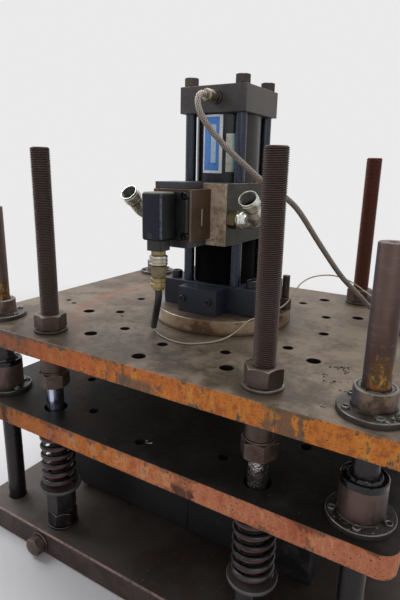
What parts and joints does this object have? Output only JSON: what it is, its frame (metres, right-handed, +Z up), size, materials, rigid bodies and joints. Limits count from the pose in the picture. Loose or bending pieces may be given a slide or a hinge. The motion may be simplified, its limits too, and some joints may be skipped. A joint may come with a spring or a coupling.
{
  "type": "hydraulic press",
  "caption": "Bench press frame: a sprung platen slides on guide posts between a base and a bolted top plate, pushed down by a hydraulic cylinder with a servo valve.",
  "frame": {"origin": "centre of the base plate's underside", "axes": "+X along the front edge to the right, +Y to the back, +Z up"},
  "size_m": [0.916, 0.7193, 0.9998],
  "materials": {
    "base_steel": "dark oily steel with worn pink-brown edges",
    "plate_steel": "bare brown-grey steel with rust stains and a worn orange painted edge",
    "block_steel": "dark oily steel",
    "rod_steel": "rust-brown threaded steel",
    "nut_steel": "dark rust-brown steel",
    "spring_steel": "dark greasy spring steel",
    "post_steel": "ground steel with brown stains",
    "bushing_steel": "brown-grey turned steel with grease",
    "disc_steel": "turned steel with a brown stain",
    "cylinder_paint": "black, satin",
    "ground_rod": "ground and plated",
    "manifold_steel": "dark brown, satin",
    "valve_anodised": "brown anodised",
    "black_plastic": "black, satin",
    "fitting_brass": "dull yellowish nickel",
    "elbow_zinc": "bright zinc plate",
    "cable_rubber": "black, matt",
    "hose_braid": "grey-brown braid",
    "lead_sheath": "beige, matt"
  },
  "bodies": {
    "frame": {"base_plate": "base_steel", "top_plate": "plate_steel", "bolster": "block_steel", "tie_rod_front_left": "rod_steel", "tie_rod_front_right": "rod_steel", "tie_rod_back_left": "rod_steel", "tie_rod_back_right": "rod_steel", "top_nut_front_left": "nut_steel", "top_nut_front_right": "nut_steel", "top_nut_back_left": "nut_steel", "top_nut_back_right": "nut_steel", "under_nut_front_left": "nut_steel", "under_nut_front_right": "nut_steel", "under_nut_back_left": "nut_steel", "under_nut_back_right": "nut_steel", "spring_seat_front_left": "nut_steel", "spring_seat_front_right": "nut_steel", "spring_seat_back_left": "nut_steel", "spring_seat_back_right": "nut_steel", "side_bolt": "nut_steel", "spring_front_left": "spring_steel", "spring_front_right": "spring_steel", "spring_back_left": "spring_steel", "spring_back_right": "spring_steel", "guide_post_front_left": "post_steel", "guide_post_front_right": "post_steel", "guide_post_back_left": "post_steel", "guide_post_back_right": "post_steel", "top_bushing_front_left": "bushing_steel", "top_bushing_front_right": "bushing_steel", "top_bushing_back_left": "bushing_steel", "top_bushing_back_right": "bushing_steel", "adapter_disc": "disc_steel", "cylinder_head": "cylinder_paint", "retainer_block": "cylinder_paint", "cylinder_tube": "cylinder_paint", "cylinder_cap": "cylinder_paint", "cylinder_stay_front_left": "cylinder_paint", "cylinder_stay_front_right": "cylinder_paint", "cylinder_stay_back_left": "cylinder_paint", "cylinder_stay_back_right": "cylinder_paint", "manifold": "manifold_steel", "valve_body": "valve_anodised", "valve_cover": "black_plastic", "valve_connector": "fitting_brass", "sensor_gland": "fitting_brass", "sensor_plug": "fitting_brass", "elbow_left": "elbow_zinc", "elbow_right": "elbow_zinc", "valve_cable": "cable_rubber", "sensor_hose": "hose_braid", "sensor_hose_coil": "hose_braid", "thin_lead": "lead_sheath", "thin_lead_coil": "lead_sheath"},
    "carriage": {"platen": "plate_steel", "platen_bushing_front_left": "bushing_steel", "platen_bushing_front_right": "bushing_steel", "platen_bushing_back_left": "bushing_steel", "platen_bushing_back_right": "bushing_steel", "piston_rod": "ground_rod"}
  },
  "joints": [
    {"name": "platen_slide", "type": "slide", "parent": "frame", "child": "carriage", "axis": [0, 0, -1], "range_m": [0, 0.05], "stiffness_N_per_m": 540000, "springref_m": -0.006, "deforming": ["spring_front_left", "spring_front_right", "spring_back_left", "spring_back_right"]}
  ]
}
